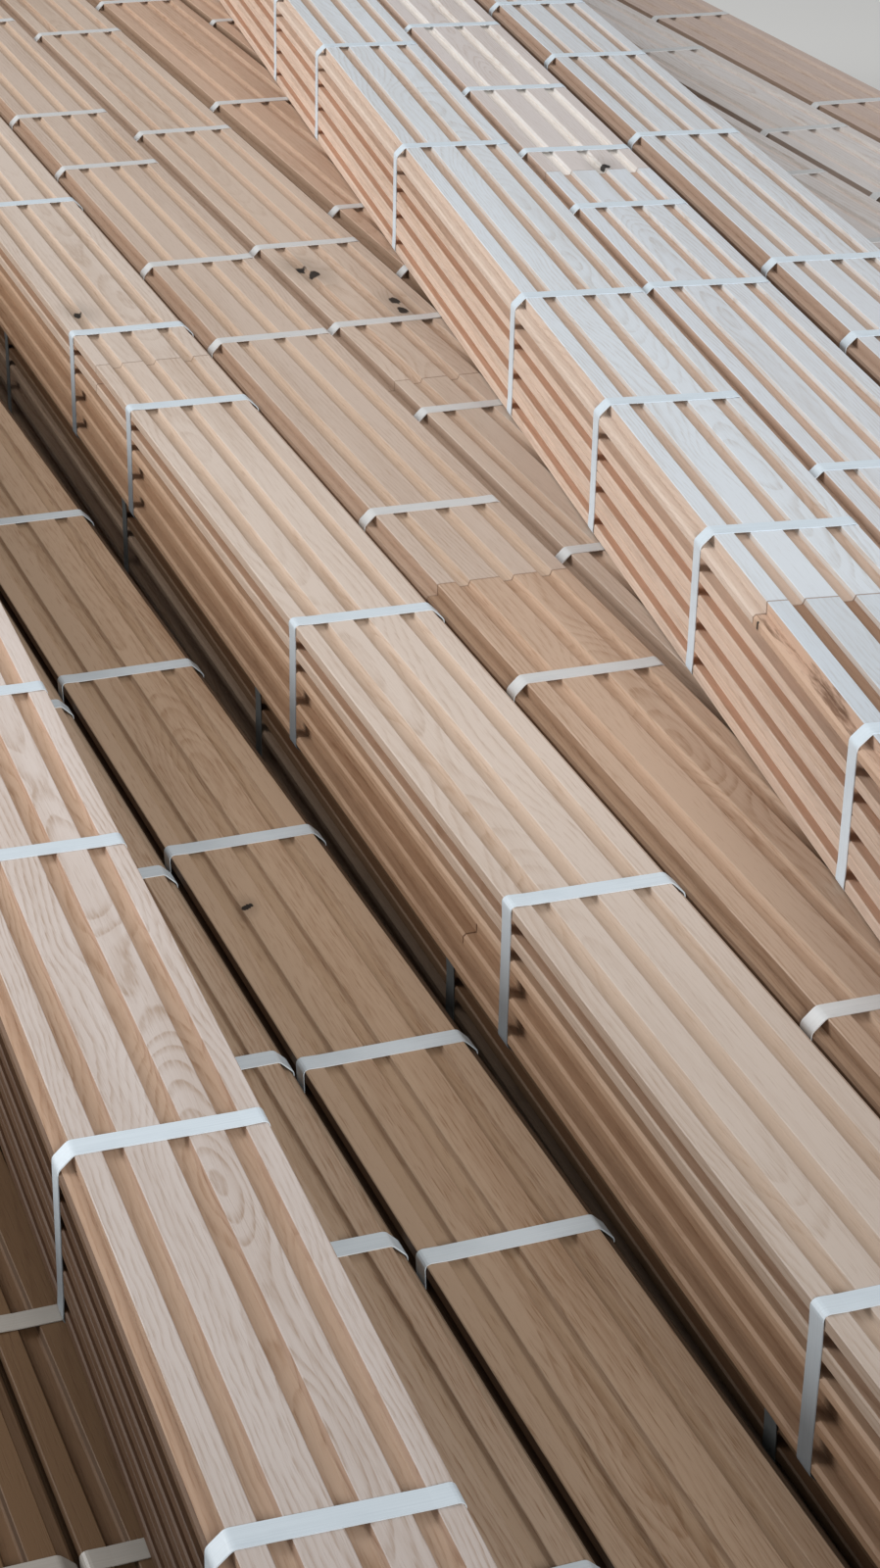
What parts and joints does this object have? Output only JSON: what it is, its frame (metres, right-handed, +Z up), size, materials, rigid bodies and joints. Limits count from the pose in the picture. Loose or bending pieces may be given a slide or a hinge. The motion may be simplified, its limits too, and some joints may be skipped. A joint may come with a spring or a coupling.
{
  "type": "stack of strapped hardwood boards",
  "caption": "Stack of planed tongue-and-groove hardwood boards, strapped in bundles and laid in three levels",
  "frame": {"origin": "centre of the underside of the stack, on the floor", "axes": "+X across the boards to the right, +Y along the boards, +Z up"},
  "size_m": [1.4214, 3.0014, 0.2701],
  "materials": {
    "pale_board": "planed, unfinished",
    "cream_board": "planed, unfinished",
    "dull_board": "planed, unfinished",
    "pink_board": "planed, unfinished",
    "shaded_board": "planed, unfinished",
    "hidden_core": "plain, stands in for bundled boards",
    "strap": "woven polyester, satin"
  },
  "bodies": {
    "root": {"hidden_bundle_cores": "hidden_core", "high_1_lower_boards": "pale_board", "high_1_straps": "strap", "high_1_top_board": "pale_board", "high_2_lower_boards": "pale_board", "high_2_straps": "strap", "high_2_top_board": "pale_board", "high_3_lower_boards": "pale_board", "high_3_straps": "strap", "high_3_top_board": "pale_board", "low_1_lower_boards": "shaded_board", "low_1_straps": "strap", "low_1_top_board": "shaded_board", "low_2_lower_boards": "shaded_board", "low_2_straps": "strap", "low_2_top_board": "shaded_board", "low_3_lower_boards": "shaded_board", "low_3_straps": "strap", "low_3_top_board": "shaded_board", "low_4_lower_boards": "shaded_board", "low_4_straps": "strap", "low_4_top_board": "shaded_board", "low_5_lower_boards": "shaded_board", "low_5_straps": "strap", "low_5_top_board": "shaded_board", "low_6_boards": "shaded_board", "low_6_straps": "strap", "mid_10_lower_boards": "dull_board", "mid_10_straps": "strap", "mid_10_top_board": "dull_board", "mid_11_lower_boards": "dull_board", "mid_11_straps": "strap", "mid_11_top_board": "dull_board", "mid_1_lower_boards": "pink_board", "mid_1_straps": "strap", "mid_1_top_board": "pink_board", "mid_2_lower_boards": "cream_board", "mid_2_straps": "strap", "mid_2_top_board": "cream_board", "mid_3_lower_boards": "cream_board", "mid_3_straps": "strap", "mid_3_top_board": "cream_board", "mid_4_lower_boards": "cream_board", "mid_4_straps": "strap", "mid_4_top_board": "cream_board", "mid_5_lower_boards": "cream_board", "mid_5_straps": "strap", "mid_5_top_board": "cream_board", "mid_6_lower_boards": "cream_board", "mid_6_straps": "strap", "mid_6_top_board": "cream_board", "mid_7_lower_boards": "dull_board", "mid_7_straps": "strap", "mid_7_top_board": "dull_board", "mid_8_lower_boards": "dull_board", "mid_8_straps": "strap", "mid_8_top_board": "dull_board", "mid_9_lower_boards": "dull_board", "mid_9_straps": "strap", "mid_9_top_board": "dull_board"}
  },
  "joints": []
}
